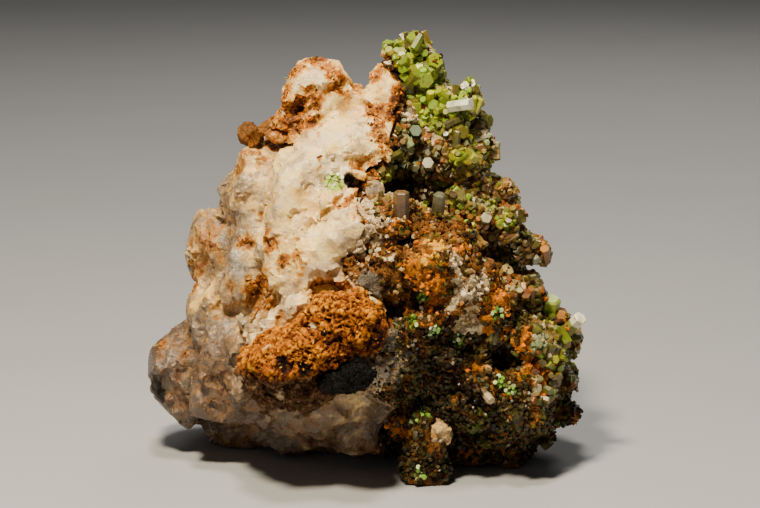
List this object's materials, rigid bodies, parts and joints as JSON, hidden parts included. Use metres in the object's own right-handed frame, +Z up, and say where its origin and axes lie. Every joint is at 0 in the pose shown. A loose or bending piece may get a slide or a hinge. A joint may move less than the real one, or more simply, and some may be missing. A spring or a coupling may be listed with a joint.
{
  "type": "pyromorphite mineral specimen",
  "caption": "Rough mineral specimen: milky quartz on one side, iron-brown gossan on the other, crusted with green hexagonal pyromorphite prisms, with an orange limonite ledge in front.",
  "frame": {"origin": "middle of the bounding box's underside, on the surface that the specimen rests on", "axes": "+Z up; -Y is the show face with the limonite ledge; +X is the show face's right-hand side, with the green crystals"},
  "size_m": [0.058, 0.0436, 0.0572],
  "materials": {
    "quartz": "milky vein quartz with rust stains, waxy, broken",
    "gossan": "earthy iron oxide crust, dull, grainy",
    "limonite": "orange ochre limonite, porous, dull",
    "goethite": "black granular goethite, slightly shiny",
    "pyromorphite": "yellow-green prisms with a resinous gloss",
    "coated_pyromorphite": "prism with a tan-brown iron coat, satin"
  },
  "bodies": {
    "root": {"quartz_matrix": "quartz", "gossan_crust": "gossan", "limonite_ledge": "limonite", "goethite_cap": "goethite", "limonite_nodule": "limonite", "quartz_knot": "quartz", "pyromorphite_tuft": "pyromorphite", "crystal_brown": "coated_pyromorphite", "crystal_grey": "pyromorphite", "crystal_crown": "pyromorphite", "crystal_slope": "pyromorphite", "crystal_pale": "pyromorphite", "crystal_rim_tip": "pyromorphite", "crystal_rim_plate": "pyromorphite", "crystal_rim_side": "pyromorphite", "crystal_low": "pyromorphite"}
  },
  "joints": []
}
